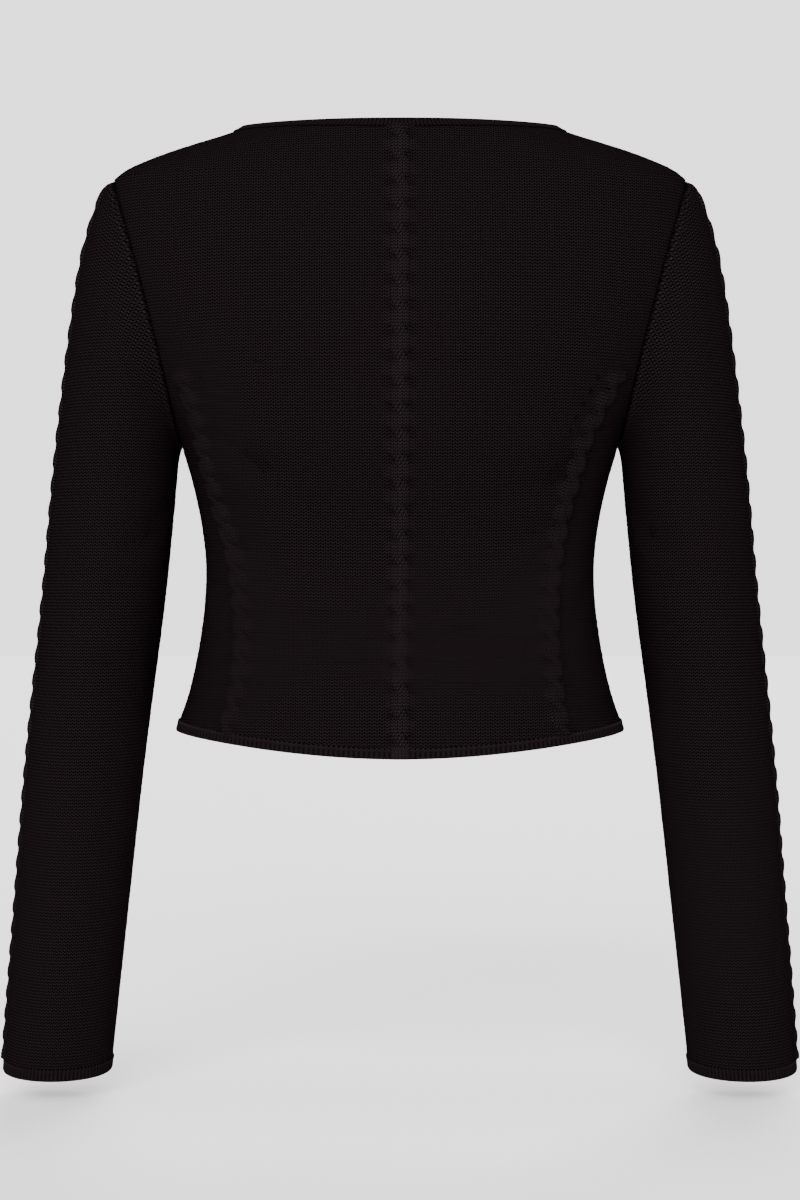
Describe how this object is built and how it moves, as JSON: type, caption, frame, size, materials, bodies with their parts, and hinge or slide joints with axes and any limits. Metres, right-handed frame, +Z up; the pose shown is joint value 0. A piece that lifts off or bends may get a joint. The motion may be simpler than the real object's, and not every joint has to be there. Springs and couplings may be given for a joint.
{
  "type": "cropped cardigan",
  "caption": "Cropped fine-knit cardigan in its worn hollow form, with rope cables down the back and sleeves, narrow ribbed bands and a buttoned front.",
  "frame": {"origin": "Midway between the two neck points, where each shoulder seam meets the neck band's top edge, at the mount worn_on_shoulders.", "axes": "+Z up along the wearer's body, -Y the front, +X the wearer's left."},
  "size_m": [0.5348, 0.2352, 0.6349],
  "materials": {
    "knit_black": "matte knit",
    "button_black": "soft satin"
  },
  "bodies": {
    "root": {"back": "knit_black", "front_left": "knit_black", "front_right": "knit_black", "sleeve_left": "knit_black", "sleeve_right": "knit_black", "neck_band": "knit_black", "hem_band": "knit_black", "cuff_left": "knit_black", "cuff_right": "knit_black", "button_band": "knit_black", "buttonhole_band": "knit_black", "button_1": "button_black", "button_2": "button_black", "button_3": "button_black", "button_4": "button_black", "button_5": "button_black", "button_6": "button_black", "button_7": "button_black"}
  },
  "joints": []
}
